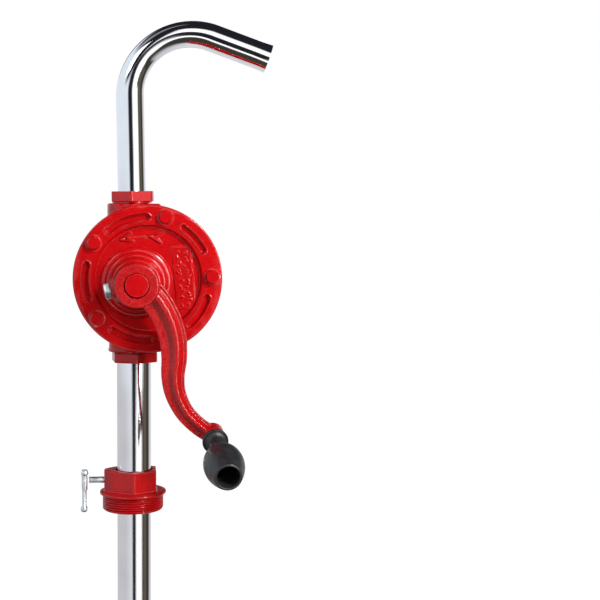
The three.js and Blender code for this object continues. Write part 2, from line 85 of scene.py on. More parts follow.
# The casing: a round chamber with a flange, a boss behind each bolt, and a neck above and below.
CHAMBER_RADIUS = 52
CHAMBER_FRONT = -22
CHAMBER_REAR = 22
BODY_RADIUS = 59
FLANGE_RADIUS = 69.6
FLANGE_REAR = -11
REAR_PAD_RADIUS = 20
BOLT_BOSS_RADIUS = 9
NECK_OFFSET = 0.5
NECK_HALF_WIDTH = 25.9
FOOT_HALF_WIDTH = 24.6
NECK_HALF_DEPTH = 20.8
NECK_CORNER = 20
OUTLET_LIP_RADIUS = 22.5
OUTLET_SEAT_RADIUS = 17.3
OUTLET_SEAT_FLOOR = 266
OUTLET_SEAT_X = -1.8
INLET_SEAT_RADIUS = 20.8
INLET_SEAT_FLOOR = 157
PORT_RADIUS = 12.5
PORT_X = -0.9

# The front cover: a web with a raised rim, and a boss that rises in steps around the shaft.
COVER_RADIUS = 70.6
COVER_WEB = -33.5
COVER_RIM = -38
RIM_INNER_RADIUS = 50.5
RIM_CROWN_START = 61.5
RIM_CROWN_DROP = 0.5
RIM_EDGE = 1.4
BOSS_STEPS = [(34.2, -37.5), (30.4, -42), (26.2, -49.6)]
BOSS_ROUNDING = 5
UNEVEN_LENGTH = 11
UNEVEN_HEIGHT = 0.22
ROTOR_RECESS_RADIUS = 40.6
ROTOR_RECESS_FLOOR = -28.6
BUSH_SEAT_RADIUS = 15
BUSH_SEAT_FLOOR = -48.3
SHAFT_HOLE_RADIUS = 11.7

# The five bolts, by bearing in degrees, and between them the long recesses in the rim: the
# bearing of each one's middle, and half its sweep.
BOLT_ANGLES = [2, 74, 146, 218, 290]
BOLT_CIRCLE = 61
BOLT_FLATS = 12.8
BOLT_HEAD_HEIGHT = 5.5
BOLT_WASHER_RADIUS = 6.9
BOLT_SHANK_RADIUS = 4
BOLT_SHANK_LENGTH = 30
BOLT_PAD_RADIUS = 7.6
BOLT_PAD_HEIGHT = 0.3
RIM_SLOTS = [(41.5, 13.5), (110, 19), (182, 15), (254, 18), (327, 15)]
RIM_SLOT_RADIUS = 58.8
RIM_SLOT_HALF_WIDTH = 2.7
RIM_SLOT_DEPTH = 3.4
RIM_SLOT_LIP = 0.75

# The two arrowheads cast on the web, each by its tip, upper barb, notch and lower barb.
ARROW_HEADS = [
    [(-12.8, 250.5), (-3.5, 257.0), (-6.0, 252.9), (-1.0, 249.7)],
    [(13.6, 255.2), (27.3, 258.7), (20.1, 253.3), (25.4, 248.1)],
]
ARROW_BAR = [(-0.8, 252.4), (11.5, 253.3)]
ARROW_HEAD_HEIGHT = 2.0
ARROW_BAR_HEIGHT = 0.5

# The raised plate on the web, from the middle of its top edge to the middle of its bottom edge.
PLATE_TOP = (44.6, 244.6)
PLATE_BOTTOM = (50.0, 184.4)
PLATE_HALF_WIDTH = 9.2
PLATE_HEIGHT = 1.1
PIP_SEED = 7
PIP_ROWS = (-3.6, 3.4)
PIP_SPACING = 3.6
PIP_SCATTER = 1.3
PIP_REACH = 2.2
PIP_HALF_WIDTHS = (0.3, 0.9)
PIP_HEIGHT = 1.1

# A chip in the cover's paint, in metres.
CHIP_PLACE = (-0.0356, -0.038, 0.1700)
CHIP_RADIUS = 0.0021

# The rotor and its shaft.
ROTOR_RADIUS = 40
ROTOR_FRONT = -28.3
ROTOR_REAR = 21.6
VANE_SLOT_FRONT = -23
VANE_SLOT_HALF_WIDTH = 4.3
SHAFT_RADIUS = 11.4
SHAFT_FRONT = -50
SHAFT_END_RADIUS = 11.15
SHAFT_END_FRONT = -79.7
SHAFT_END_OFFSET = 0.3

# The crank: a hub with a lug for its clamping bolt, an arm and an eye for the grip's pin. The lug
# and the bolt reach out from the shaft's axis: an outline is by radius and distance, and a bolt's
# part by its two distances. The arm is given along its length by x, z and half its width.
HUB_RADIUS = 20.6
HUB_FRONT = -80
HUB_BACK = -52
HUB_BORE = 11.8
LUG_ANGLE = 192
LUG_THINNING = 0.76
LUG_OUTLINE = [(0, 0), (17, 0), (17, 11), (9.4, 24.0), (0, 24.0)]
LUG_HOLE_RADIUS = 5.2
EYE_RADIUS = 10.5
EYE_ENDS = (-8.5, 6.8)
EYE_HOLE_RADIUS = 4.2
CRANK_BOLT_FLATS = 14.6
CRANK_BOLT_HEAD = (24.6, 29.9)
CRANK_BOLT_RADIUS = 4.4
CRANK_BOLT_SHANK = (13, 28)
ARM_LINE = [
    (2.6, 210, 14), (16, 201, 13.6), (28.5, 183, 13.2), (35.6, 163, 12.8), (37.4, 143, 12),
    (36.2, 125, 10.9), (38.6, 108, 9.8), (47, 90.5, 8.8), (60, 77, 8.4), (74.1, 67.7, 8.4),
]
ARM_BACK = -60
ARM_FLANGE = -67.2
ARM_SHOULDER = -67.8
ARM_CREST = -72.8

# The grip, by radius and distance from the pin's root: a grooved collar, a bulb and a deep mouth.
GRIP_BORE = 4.4
GRIP_BACK = 7
GRIP_COLLAR = [
    (9.4, 7), (10.4, 9.6), (9.7, 10.3), (11.9, 11.2), (12.3, 14.6), (11.5, 15.8), (10.6, 14.9),
    (10.0, 16.3), (9.0, 17.0), (7.1, 18.4),
]
GRIP_BULB = [
    (6.8, 21), (6.9, 28), (8.6, 36), (12.6, 46), (16.5, 56), (18.3, 66), (18.0, 76), (15.8, 86),
    (13.5, 93), (12.4, 96),
]
GRIP_MOUTH = [(12.4, 96), (11.6, 96.6), (10.6, 96.6), (10, 95.4), (9.6, 60), (4.4, 57)]

# The spout: a straight rise, a bend and a straight end with a slight flare.
SPOUT_RADIUS = 13.3
SPOUT_BORE = 11.9
SPOUT_FOOT = -18.6
SPOUT_RISE = 103.6
BEND_RADIUS = 59.2
BEND_DEGREES = 110.2
BEND_FLATTENING_OUTSIDE = 0.15
BEND_FLATTENING_INSIDE = 0.04
BEND_WIDENING = 0.02
SPOUT_END = 58.6
SPOUT_FLARE = 0.5
SPOUT_FLARE_LENGTH = 14
OUTLET_FLATS = 39.2
OUTLET_HEXAGON = (1.7, 11.8)
OUTLET_THREAD_RADIUS = 16.5
OUTLET_THREAD_FOOT = -14.5
OUTLET_COLLAR = (18.9, 0.4)

# The suction tube with its bushing and collar, and the tube that draws out of it.
SUCTION_RADIUS = 16.5
SUCTION_BORE = 15
INLET_FLATS = 41.5
INLET_HEXAGON = (-1.1, 8.7)
INLET_THREAD_RADIUS = 20.5
INLET_THREAD_FOOT = -12.5
EXTENSION_RADIUS = 14
EXTENSION_BORE = 12.5
EXTENSION_STOP_RADIUS = 14.8
EXTENSION_STOP_HEIGHT = 3
COLLAR_RADIUS = 19
COLLAR_GROOVE_RADIUS = 18.4
COLLAR_BORE = 14.3
COLLAR_SEAT_RADIUS = 16.65
COLLAR_SEAT_HEIGHT = 5.5
TUBE_CLEARANCE = 0.3
BUSHING_CHAMFER = 1.14

# The bung adapter with its 2 inch pipe thread, the clamp screw, by distance from the tube's axis,
# and the tommy bar, which leans by this many degrees.
ADAPTER_TOP = 24
ADAPTER_FLATS = 43
ADAPTER_BORE = 18.3
ADAPTER_LUG_REACH = 29.2
ADAPTER_LUG_HALF_WIDTH = 4.6
ADAPTER_FLANGE_RADIUS = 32.5
FLANGE_THICKNESS = 3
FLANGE_OFFSET = -1.1
THREAD_PITCH = 2.309
THREAD_CREST = 29.8
THREAD_ROOT = 28.4
THREAD_BOTTOM = -15.3
THREAD_RUN_IN = 1.6
THREAD_STEP = 0.2
THREAD_INSIDE = 24.8
SCREW_HOLE_RADIUS = 3.4
SCREW_RADIUS = 3.1
SCREW_SHANK = (19.2, 44)
SCREW_HEAD_RADIUS = 4.1
SCREW_HEAD = (42.5, 57.2)
CROSS_HOLE_RADIUS = 2.85
TOMMY_BAR_RADIUS = 2.2
TOMMY_BALL_RADIUS = 3.6
TOMMY_STUB_RADIUS = 3.4
TOMMY_BAR_LEAN = 1.2

# The camera: its place in metres, its angles in degrees and its lens in millimetres. It looks a
# little to the right and down, and leans a little.
CAMERA_PLACE = (0.002, -1.3, 0.2924)
CAMERA_YAW = 7.08
CAMERA_PITCH = -4.44
CAMERA_ROLL = 0.46
LENS_LENGTH = 79.5
SENSOR_WIDTH = 36

# The pump hangs from the bung of a drum, so the floor is a drum's height below the adapter's seat.
FLOOR_HEIGHT = -0.88
FLOOR_RADIUS = 4.0
FLOOR_GLOW = 0.98

# The lights: name, place and size in metres, and power in watts.
LIGHTS = [
    ("tall_strip", (0.95, -1.06, 0.60), (0.14, 1.3), 16),
    ("key", (0.82, -0.92, 1.05), (0.16, 0.3), 12),
    ("high_left", (-1.0, -0.9, 1.2), (0.7, 0.7), 3.5),
]
LIGHTS_AIM = (0, 0, 0.2)

# Brightnesses in the studio, each as red, green and blue.
WHITE = (1.4, 1.4, 1.4)
COOL = (0.86, 0.93, 1.0)
SOFT = (0.82, 0.83, 0.85)
PALE = (0.62, 0.62, 0.64)
GREY = (0.42, 0.42, 0.43)
TAN = (0.42, 0.38, 0.33)
OLIVE = (0.16, 0.14, 0.10)
BROWN = (0.05, 0.045, 0.035)
DARK = (0.015, 0.016, 0.02)

# The studio's ground and the layers above it. A layer is the elevation where it starts to show,
# the one where it hides what is below, and its bands, each a bearing and a brightness. Angles are
# in degrees, and a bearing counts from the front, with the left negative.
GROUND = [(-180, SOFT), (-110, PALE), (-60, BROWN), (60, BROWN), (110, PALE), (180, SOFT)]
LAYERS = [
    (-37, -32, [
        (-180, SOFT), (-90, PALE), (-48, GREY), (-34, WHITE), (34, WHITE), (48, BROWN), (112, BROWN),
        (130, PALE), (180, SOFT),
    ]),
    (-25, -20, [
        (-180, PALE), (-125, PALE), (-60, PALE), (-16, SOFT), (-8, DARK), (6, DARK), (14, SOFT), (18, WHITE),
        (48, WHITE), (54, TAN), (64, BROWN), (82, OLIVE), (92, BROWN), (112, BROWN), (126, PALE),
        (150, SOFT), (180, GREY),
    ]),
    (-4, 1, [
        (-180, GREY), (-158, COOL), (-20, COOL), (-10, DARK), (14, DARK), (26, WHITE), (60, WHITE),
        (72, BROWN), (88, OLIVE), (100, BROWN), (114, BROWN), (128, PALE), (150, COOL), (180, GREY),
    ]),
    (8, 14, [
        (-180, DARK), (-160, DARK), (-146, COOL), (-54, COOL), (-42, DARK), (-10, DARK), (-2, WHITE),
        (60, WHITE), (76, DARK), (180, DARK),
    ]),
    (37, 48, [(-180, DARK), (-120, DARK), (-90, GREY), (-60, DARK), (180, DARK)]),
]


# ---- Shapes: each is a list of points and a list of faces ----


def unit(vector):
    return vector / np.linalg.norm(vector)


def around(sides):
    return np.linspace(0, 2 * math.pi, sides, endpoint=False)


def on_disc(radius, degrees):
    """A place on the disc, as x and z."""
    angle = math.radians(degrees)
    return DISC.x + radius * math.cos(angle), DISC.z + radius * math.sin(angle)


def skin(rings, closed=False):
    """Joins rings of points into a tube; an open one gets a flat face at each end."""
    rings = [np.asarray(ring, float) for ring in rings]
    sides = len(rings[0])
    points = np.concatenate(rings)
    faces = []
    for i in range(len(rings) if closed else len(rings) - 1):
        here = i * sides
        there = (i + 1) % len(rings) * sides
        for j in range(sides):
            k = (j + 1) % sides
            faces.append((here + j, here + k, there + k, there + j))
    if not closed:
        faces.append(tuple(reversed(range(sides))))
        faces.append(tuple(range(len(points) - sides, len(points))))
    return points, faces


def softened(outline, radius, steps=4, closed=True):
    """Rounds the corners of an outline of (x, y) pairs."""
    outline = [np.array(point, float) for point in outline]
    count = len(outline)
    smooth = []
    for i, corner in enumerate(outline):
        if not closed and i in (0, count - 1):
            smooth.append(corner)
            continue
        before = outline[i - 1] - corner
        after = outline[(i + 1) % count] - corner
        reach = min(radius, np.linalg.norm(before) * 0.49, np.linalg.norm(after) * 0.49)
        start = corner + unit(before) * reach
        end = corner + unit(after) * reach
        for part in range(steps + 1):
            t = part / steps
            smooth.append((1 - t) ** 2 * start + 2 * t * (1 - t) * corner + t ** 2 * end)
    return smooth


def through(points, per_span=6):
    """A smooth curve through points of any dimension, as a Catmull-Rom spline."""
    points = np.asarray(points, float)
    padded = np.vstack([2 * points[0] - points[1], points, 2 * points[-1] - points[-2]])
    curve = []
    for i in range(len(points) - 1):
        p0, p1, p2, p3 = padded[i:i + 4]
        for t in np.linspace(0, 1, per_span, endpoint=False):
            curve.append(0.5 * (2 * p1 + (p2 - p0) * t + (2 * p0 - 5 * p1 + 4 * p2 - p3) * t ** 2
                                + (3 * p1 - p0 - 3 * p2 + p3) * t ** 3))
    curve.append(points[-1])
    return np.array(curve)


def aimed(shape, axis, origin=(0, 0, 0)):
    """Turns a shape built along +Z to another axis, then moves it."""
    points, faces = shape
    turn = np.array(UPWARD.rotation_difference(Vector(axis)).to_matrix())
    return points @ turn.T + np.array(origin), faces


def shifted(shape, x, y=0, z=0):
    points, faces = shape
    return points + np.array([x, y, z]), faces


def across(shape, x=0.0, z=0.0):
    """Lays a shape built along +Z on the pump's front-to-back axis: its height becomes y."""
    points, faces = shape
    laid = np.column_stack([points[:, 0] + x, points[:, 2], points[:, 1] + z])
    return laid, faces


def turned(profile, sides=96):
    """Turns a profile of (radius, height) pairs about +Z. One that starts on the axis is closed there."""
    on_axis = profile[0][0] == 0
    stations = [pair for pair in profile if pair[0] > 0]
    angles = around(sides)
    rings = [
        np.column_stack([r * np.cos(angles), r * np.sin(angles), np.full(sides, h)])
        for r, h in stations
    ]
    return skin(rings, closed=not on_axis)


def rod(radius, low, high, sides=96, edge=0.4):
    """A round bar along +Z, with its end edges softened."""
    outline = softened([(0, low), (radius, low), (radius, high), (0, high)], edge, closed=False)
    return turned(outline, sides)


def sleeve(outer, inner, low, high, sides=96, edge=0.4):
    """A tube along +Z, with its end edges softened."""
    return turned(softened([(inner, low), (outer, low), (outer, high), (inner, high)], edge), sides)


def prism(outline, low, high):
    """A block on an outline in x and y, from one height to another."""
    rings = [[(x, y, height) for x, y in outline] for height in (low, high)]
    return skin(rings)


def hexagon_radius(angle, flats, corner):
    """Distance from a hexagon's centre to its side, with its corners rounded off."""
    sharp = flats / 2 / np.cos((angle % (math.pi / 3)) - math.pi / 6)
    return np.minimum(sharp, flats / math.sqrt(3) - corner)


def ring_at(radii, height, sides=144):
    """A ring of points around +Z; its radius and its height may change around it."""
    angles = around(sides)
    radii, height = np.broadcast_to(radii, sides), np.broadcast_to(height, sides)
    return np.column_stack([radii * np.cos(angles), radii * np.sin(angles), height])


def hex_rings(flats, low, high, turn=0.0, chamfer=0.94, corner=0.35, edge=0.35):
    """Rings up a hexagon head whose top is chamfered as a cone would cut it."""
    angles = around(144)
    radii = hexagon_radius(angles - math.radians(turn), flats, corner)
    flat_top = flats / 2 * chamfer
    drop = np.maximum(radii - flat_top, 0) * math.tan(math.radians(28))
    return [
        ring_at(radii - edge, low),
        ring_at(radii, low + edge),
        ring_at(radii, high - drop - edge),
        ring_at(radii - edge * 0.3, high - drop - edge * 0.3),
        ring_at(np.minimum(radii - edge, flat_top), high),
    ]


def hex_bushing(hexagon, thread_radius, thread_low, bore, off_centre=0.0, collar=None):
    """A hexagon on a plain threaded stub, bored through; cast slightly off the bore's centre.

    collar is the radius and the foot of a round shoulder between the stub and the hexagon.
    """
    low, high = hexagon[0][0][2], hexagon[-1][0][2]
    hexagon = [ring + np.array([off_centre, 0, 0]) for ring in hexagon]
    neck_rings = [ring_at(thread_radius, low)]
    if collar:
        radius, foot = collar
        neck_rings = [ring_at(thread_radius, foot), ring_at(radius, foot), ring_at(radius, low)]
    return skin([
        ring_at(bore, thread_low), ring_at(thread_radius, thread_low), *neck_rings,
        *hexagon, ring_at(bore + 0.8, high), ring_at(bore, high - 0.8),
    ], closed=True)


def swept(centres, section):
    """Sweeps a section along a flat curve in x and z; section gives (across, forward) pairs."""
    headings = np.gradient(centres, axis=0)
    rings = []
    for i, (centre, heading) in enumerate(zip(centres, headings)):
        heading = unit(heading)
        across = np.array([-heading[2], 0, heading[0]])
        rings.append([centre + across * u + np.array([0, v, 0]) for u, v in section(i)])
    return rings


# ---- Making mesh objects ----


def added(name, data):
    """A new object in the scene, with this data."""
    thing = bpy.data.objects.new(name, data)
    bpy.context.scene.collection.objects.link(thing)
    return thing


def plain_object(name, *shapes):
    """An object made of one or more shapes, still in millimetres."""
    mesh = bpy.data.meshes.new(name)
    points = []
    faces = []
    for shape_points, shape_faces in shapes:
        start = len(points)
        points.extend(map(tuple, shape_points))
        faces.extend(tuple(index + start for index in face) for face in shape_faces)
    mesh.from_pydata(points, [], faces)
    mesh.validate()
    mesh.update()
    outward(mesh)
    return added(name, mesh)


def outward(mesh):
    """Points every face of a closed mesh outwards."""
    work = bmesh.new()
    work.from_mesh(mesh)
    bmesh.ops.recalc_face_normals(work, faces=work.faces)
    work.to_mesh(mesh)
    work.free()


def settle(thing):
    """Applies every modifier of an object."""
    bpy.context.view_layer.update()
    shaped = thing.evaluated_get(bpy.context.evaluated_depsgraph_get())
    mesh = bpy.data.meshes.new_from_object(shaped)
    thing.modifiers.clear()
    thing.data = mesh


def fuse(thing, voxel, smoothing):
    """Melts overlapping shapes into one cast body with rounded corners."""
    remesh = thing.modifiers.new("fuse", "REMESH")
    remesh.mode = "VOXEL"
    remesh.voxel_size = voxel
    smooth = thing.modifiers.new("soften", "SMOOTH")
    smooth.factor = 0.5
    smooth.iterations = smoothing
    settle(thing)


def carve(thing, *shapes):
    """Cuts shapes out of an object."""
    for shape in shapes:
        tool = plain_object("tool", shape)
        cut = thing.modifiers.new("cut", "BOOLEAN")
        cut.operation = "DIFFERENCE"
        cut.solver = "EXACT"
        cut.object = tool
        settle(thing)
        bpy.data.objects.remove(tool)


def join_objects(first, *others):
    """Makes one object of several, without cutting or melting them together."""
    bpy.ops.object.select_all(action="DESELECT")
    for thing in (first, *others):
        thing.select_set(True)
    bpy.context.view_layer.objects.active = first
    bpy.ops.object.join()
    return first


def finish_piece(thing, body, material, slot, *nodes, crease=35):
    """Scales a piece to metres, shades it, gives it its body and material, and hides the CAD nodes it stands
    for.
    """
    thing.data.transform(Matrix.Scale(MM, 4))
    thing.data.shade_smooth()
    thing.data.set_sharp_from_angle(angle=math.radians(crease))
    thing.data.materials.clear()
    thing.data.materials.append(material)
    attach(thing, body)
    if nodes:
        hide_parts(*nodes)
    return thing


# ---- Materials ----


class NodeTree:
    """The node tree of a material or a world, with short calls for the nodes used here."""

    def __init__(self, owner):
        owner.use_nodes = True
        self.tree = owner.node_tree

    def give(self, socket, value):
        """Gives an input a number, a point or a colour, or links it to another node's output."""
        if isinstance(value, bpy.types.NodeSocket):
            self.tree.links.new(value, socket)
        elif socket.type == "RGBA":
            socket.default_value = (*value, 1)
        else:
            socket.default_value = value

    def node(self, kind, inputs=None, **settings):
        """Adds a node; inputs maps an input's name or number to what it is given."""
        made = self.tree.nodes.new("ShaderNode" + kind)
        for key, value in settings.items():
            setattr(made, key, value)
        for key, value in (inputs or {}).items():
            self.give(made.inputs[key], value)
        return made

    def math(self, operation, *values):
        return self.node("Math", dict(enumerate(values)), operation=operation).outputs[0]

    def mapped(self, value, start, end, low=0, high=1, **settings):
        """Maps the range from start to end onto low to high, and holds its ends beyond it."""
        ends = {"From Min": start, "From Max": end, "To Min": low, "To Max": high}
        return self.node("MapRange", {"Value": value, **ends}, **settings).outputs["Result"]

    def blend(self, share, first, second):
        colours = {"Factor": share, "A": first, "B": second}
        return self.node("Mix", colours, data_type="RGBA").outputs["Result"]


class Shader(NodeTree):
    """A material made of one Principled surface, with its patterns in object coordinates."""

    def __init__(self, name):
        self.material = bpy.data.materials.new(name)
        super().__init__(self.material)
        self.surface = self.tree.nodes["Principled BSDF"]
        self.position = self.node("TexCoord").outputs["Object"]

    def set(self, **values):
        """Gives the surface's inputs their values; an underscore stands for a space."""
        for key, value in values.items():
            self.give(self.surface.inputs[key.replace("_", " ")], value)

    def stretched(self, scale):
        """Object coordinates drawn out, for lines instead of spots."""
        return self.node("Mapping", {"Vector": self.position, "Scale": scale}).outputs["Vector"]

    def noise(self, per_metre, detail=3.0, roughness=0.5, vector=None):
        pattern = {"Scale": per_metre, "Detail": detail, "Roughness": roughness}
        return self.node("TexNoise", {"Vector": vector or self.position, **pattern}).outputs["Fac"]

    def spread(self, value, low, high, start=0.3, end=0.7):
        """Maps a noise's useful range, from start to end, onto low to high."""
        return self.mapped(value, start, end, low, high)

    def spot(self, centre, radius, unevenness):
        """1 in a small ragged spot around a point, and 0 away from it."""
        away = self.node("VectorMath", {0: self.position, 1: centre}, operation="DISTANCE")
        ragged = self.math("MULTIPLY", away.outputs["Value"], self.spread(unevenness, 0.6, 1.6))
        return self.mapped(ragged, radius * 0.8, radius, 1, 0)

    def bump(self, height, distance, strength=1.0, below=None):
        """Bends the normal by a height pattern, on top of an earlier bump if there is one below."""
        made = self.node("Bump", {"Height": height, "Distance": distance, "Strength": strength})
        if below:
            self.give(made.inputs["Normal"], below)
        return made.outputs["Normal"]


def red_enamel(name="red enamel", sand=0.00003, speckle=0.35, chip=None):
    """Thick gloss paint over a sand casting, with a chip in it where one is given.

    sand is the height of the gloss's lumps in metres, and speckle how dark the paint's specks are.
    """
    paint = Shader(name)
    cloud = paint.noise(45, 4)
    fine = paint.noise(620, 3, 0.6)
    colour = paint.blend(paint.spread(cloud, 0, 1), (0.43, 0.0018, 0.003), (0.52, 0.003, 0.005))
    colour = paint.blend(paint.spread(fine, 0, speckle, 0.42, 0.62), colour, (0.22, 0.001, 0.002))
    if chip:
        colour = paint.blend(paint.spot(chip, CHIP_RADIUS, cloud), colour, (0.30, 0.31, 0.22))
    waves = paint.bump(paint.noise(160, 2), 0.0005, 0.3)
    paint.set(
        Base_Color=colour,
        Roughness=paint.spread(fine, 0.40, 0.55),
        Normal=paint.bump(fine, 0.0002, 1.0, waves),
        Coat_Normal=paint.bump(paint.noise(420, 2), sand, 1.0, waves),
        Specular_IOR_Level=0.03, Coat_Weight=0.8, Coat_Roughness=0.05, Coat_IOR=1.5,
    )
    return paint.material


def chrome(name="chrome plate", grain=0.0):
    """Bright plate with faint drawing lines; grain is the height of its pitting in metres."""
    plate = Shader(name)
    haze = plate.noise(30, 3)
    lines = plate.noise(900, 2, 0.5, plate.stretched((1, 1, 0.03)))
    drawn = plate.bump(lines, 0.00004, 0.4)
    if grain:
        drawn = plate.bump(plate.noise(1400, 2), grain, 1.0, drawn)
    plate.set(
        Metallic=1.0,
        Base_Color=plate.blend(plate.spread(haze, 0, 1), (0.80, 0.80, 0.83), (0.88, 0.88, 0.90)),
        Roughness=plate.spread(lines, 0.05, 0.10),
        Normal=drawn,
    )
    return plate.material


def zinc_plate():
    plate = Shader("zinc plate")
    patches = plate.noise(260, 4)
    plate.set(
        Metallic=1.0,
        Base_Color=plate.blend(plate.spread(patches, 0, 1), (0.62, 0.67, 0.69), (0.84, 0.89, 0.91)),
        Roughness=plate.spread(patches, 0.30, 0.50),
        Normal=plate.bump(plate.noise(700, 3), 0.0001, 0.5),
    )
    return plate.material


def black_plastic():
    moulded = Shader("black plastic")
    mottle = moulded.noise(120, 5, 0.6)
    share = moulded.spread(mottle, 0, 1)
    moulded.set(
        Base_Color=moulded.blend(share, (0.010, 0.010, 0.011), (0.022, 0.022, 0.024)),
        Roughness=moulded.spread(mottle, 0.34, 0.52),
        Normal=moulded.bump(moulded.noise(1500, 3), 0.00006, 0.6),
        Specular_IOR_Level=0.5,
    )
    return moulded.material


def uncoated(name, dark, light, rough_low, rough_high, metallic=1.0):
    """A bare material with cloudy patches and faint tool rings; metallic is 0 for rubber and carbon."""
    bare = Shader(name)
    rings = bare.noise(500, 2, 0.5, bare.stretched((0.1, 1, 0.1)))
    bare.set(
        Metallic=metallic,
        Base_Color=bare.blend(bare.spread(bare.noise(180, 4), 0, 1), dark, light),
        Roughness=bare.spread(rings, rough_low, rough_high),
        Normal=bare.bump(rings, 0.00006, 0.5),
    )
    return bare.material


RED = red_enamel()
CHIPPED_RED = red_enamel("chipped red enamel", chip=CHIP_PLACE)
ROUGH_RED = red_enamel("red enamel on rough casting", 0.0007, 0.75)
CHROME = chrome()
GRAINY_CHROME = chrome("chrome plate on rougher tube", 0.00004)
ZINC = zinc_plate()
BLACK = black_plastic()
STEEL = uncoated("blackened steel", (0.03, 0.03, 0.032), (0.06, 0.06, 0.065), 0.35, 0.55)
BRONZE = uncoated("bronze", (0.40, 0.22, 0.07), (0.62, 0.38, 0.14), 0.25, 0.45)
IRON = uncoated("machined iron", (0.20, 0.20, 0.21), (0.42, 0.42, 0.43), 0.35, 0.60)
RUBBER = uncoated("rubber", (0.010, 0.010, 0.010), (0.022, 0.022, 0.021), 0.65, 0.85, 0.0)
CARBON = uncoated("carbon", (0.014, 0.014, 0.016), (0.030, 0.030, 0.033), 0.45, 0.65, 0.0)


# ---- Casing ----


def neck(half_width, low, high):
    """The block that joins a tube's bushing to the round body."""
    deep = NECK_HALF_DEPTH
    outline = [(-half_width, -deep), (half_width, -deep), (half_width, deep), (-half_width, deep)]
    return shifted(prism(softened(outline, NECK_CORNER, steps=10), low, high), NECK_OFFSET)


def pump_casing():
    body = across(rod(BODY_RADIUS, CHAMBER_FRONT, CASING_REAR - 4, 128, 3), DISC.x, DISC.z)
    flange = across(rod(FLANGE_RADIUS, CHAMBER_FRONT, FLANGE_REAR, 160, 1.5), DISC.x, DISC.z)
    rear_pad = across(rod(REAR_PAD_RADIUS, CASING_REAR - 8, CASING_REAR, 64, 2), SHAFT.x, SHAFT.z)
    bosses = []
    for degrees in BOLT_ANGLES:
        x, z = on_disc(BOLT_CIRCLE - 2, degrees)
        bosses.append(across(rod(BOLT_BOSS_RADIUS, CHAMBER_FRONT, 0, 48, 2), x, z))
    foot = CASING_BOTTOM + 1.5
    necks = [neck(NECK_HALF_WIDTH, DISC.z, CASING_TOP), neck(FOOT_HALF_WIDTH, foot, DISC.z)]
    lips = [
        rod(OUTLET_LIP_RADIUS, CASING_TOP - 6, CASING_TOP, 96, 1),
        neck(FOOT_HALF_WIDTH + 1, foot + 0.6, foot + 2.6),
    ]
    casing = plain_object("casing", body, flange, rear_pad, *bosses, *necks, *lips)
    fuse(casing, voxel=1.15, smoothing=5)
    chamber = across(rod(CHAMBER_RADIUS, CHAMBER_FRONT - 5, CHAMBER_REAR, 128), DISC.x, DISC.z)
    outlet_seat = shifted(rod(OUTLET_SEAT_RADIUS, OUTLET_SEAT_FLOOR, CASING_TOP + 3), OUTLET_SEAT_X)
    inlet_seat = rod(INLET_SEAT_RADIUS, CASING_BOTTOM - 3, INLET_SEAT_FLOOR)
    port = shifted(rod(PORT_RADIUS, CASING_BOTTOM, CASING_TOP), PORT_X)
    carve(casing, chamber, outlet_seat, inlet_seat, port)
    return finish_piece(casing, "pump", RED, "red_enamel", "pump_casing")


# ---- Front cover: its face is a height for each place on the disc ----


def step(value, edge, width):
    """0 below the edge and 1 above it, with a smooth change about as wide as width."""
    t = np.clip((value - edge) / width + 0.5, 0, 1)
    return t * t * (3 - 2 * t)


def rounded(inside, width):
    """0 outside an edge, rising over a rounded shoulder of this width to 1."""
    t = np.clip(inside / width, 0, 1)
    return np.sqrt(1 - (1 - t) ** 2)


def distance_to_segment(x, z, start, end):
    (x0, z0), (x1, z1) = start, end
    dx, dz = x1 - x0, z1 - z0
    t = np.clip(((x - x0) * dx + (z - z0) * dz) / (dx * dx + dz * dz), 0, 1)
    return np.hypot(x - x0 - t * dx, z - z0 - t * dz)


def distance_to_arc(x, z, radius, middle, half):
    """Distance to an arc of the disc, with its middle and half its length in degrees."""
    angle = np.degrees(np.arctan2(z - DISC.z, x - DISC.x))
    off = (angle - middle + 180) % 360 - 180
    nearest = np.radians(middle + np.clip(off, -half, half))
    return np.hypot(x - DISC.x - radius * np.cos(nearest), z - DISC.z - radius * np.sin(nearest))


def ridge(distance, half_width, height, slope=1.1):
    """A raised line, from the distance to its middle; slope is the width of its sides."""
    return height * (1 - step(distance, half_width, slope))


def rotation_arrows(x, z):
    """Two raised arrowheads that point the way the crank turns, and the bar between them."""
    heights = [ridge(distance_to_segment(x, z, *ARROW_BAR), 0.9, ARROW_BAR_HEIGHT)]
    for tip, upper, notch, lower in ARROW_HEADS:
        for start, end in ((tip, upper), (upper, notch), (notch, lower), (lower, tip)):
            from_side = distance_to_segment(x, z, start, end)
            heights.append(ridge(from_side, 0.9, ARROW_HEAD_HEIGHT, 1.9))
    return np.maximum.reduce(heights)


def plate_pad(x, z):
    """A raised plate with two uneven rows of plain pips where a maker would cast a name."""
    top, bottom = np.array(PLATE_TOP), np.array(PLATE_BOTTOM)
    length = np.linalg.norm(bottom - top)
    down = (bottom - top) / length
    along = (x - top[0]) * down[0] + (z - top[1]) * down[1]
    side = (x - top[0]) * -down[1] + (z - top[1]) * down[0]
    across_plate = 1 - step(np.abs(side), PLATE_HALF_WIDTH, 1.2)
    inside = across_plate * step(along, 0, 1.2) * (1 - step(along, length, 1.2))
    pips = np.zeros_like(along)
    scatter = np.random.default_rng(PIP_SEED)
    for row in PIP_ROWS:
        for place in np.arange(4, length - 3, PIP_SPACING):
            start = np.array([place, row]) + scatter.uniform(-PIP_SCATTER, PIP_SCATTER, 2)
            end = start + scatter.uniform(-PIP_REACH, PIP_REACH, 2)
            half_width = scatter.uniform(*PIP_HALF_WIDTHS)
            from_pip = distance_to_segment(along, side, start, end)
            pips = np.maximum(pips, ridge(from_pip, half_width, PIP_HEIGHT, 1.3))
    return inside * (PLATE_HEIGHT + pips)


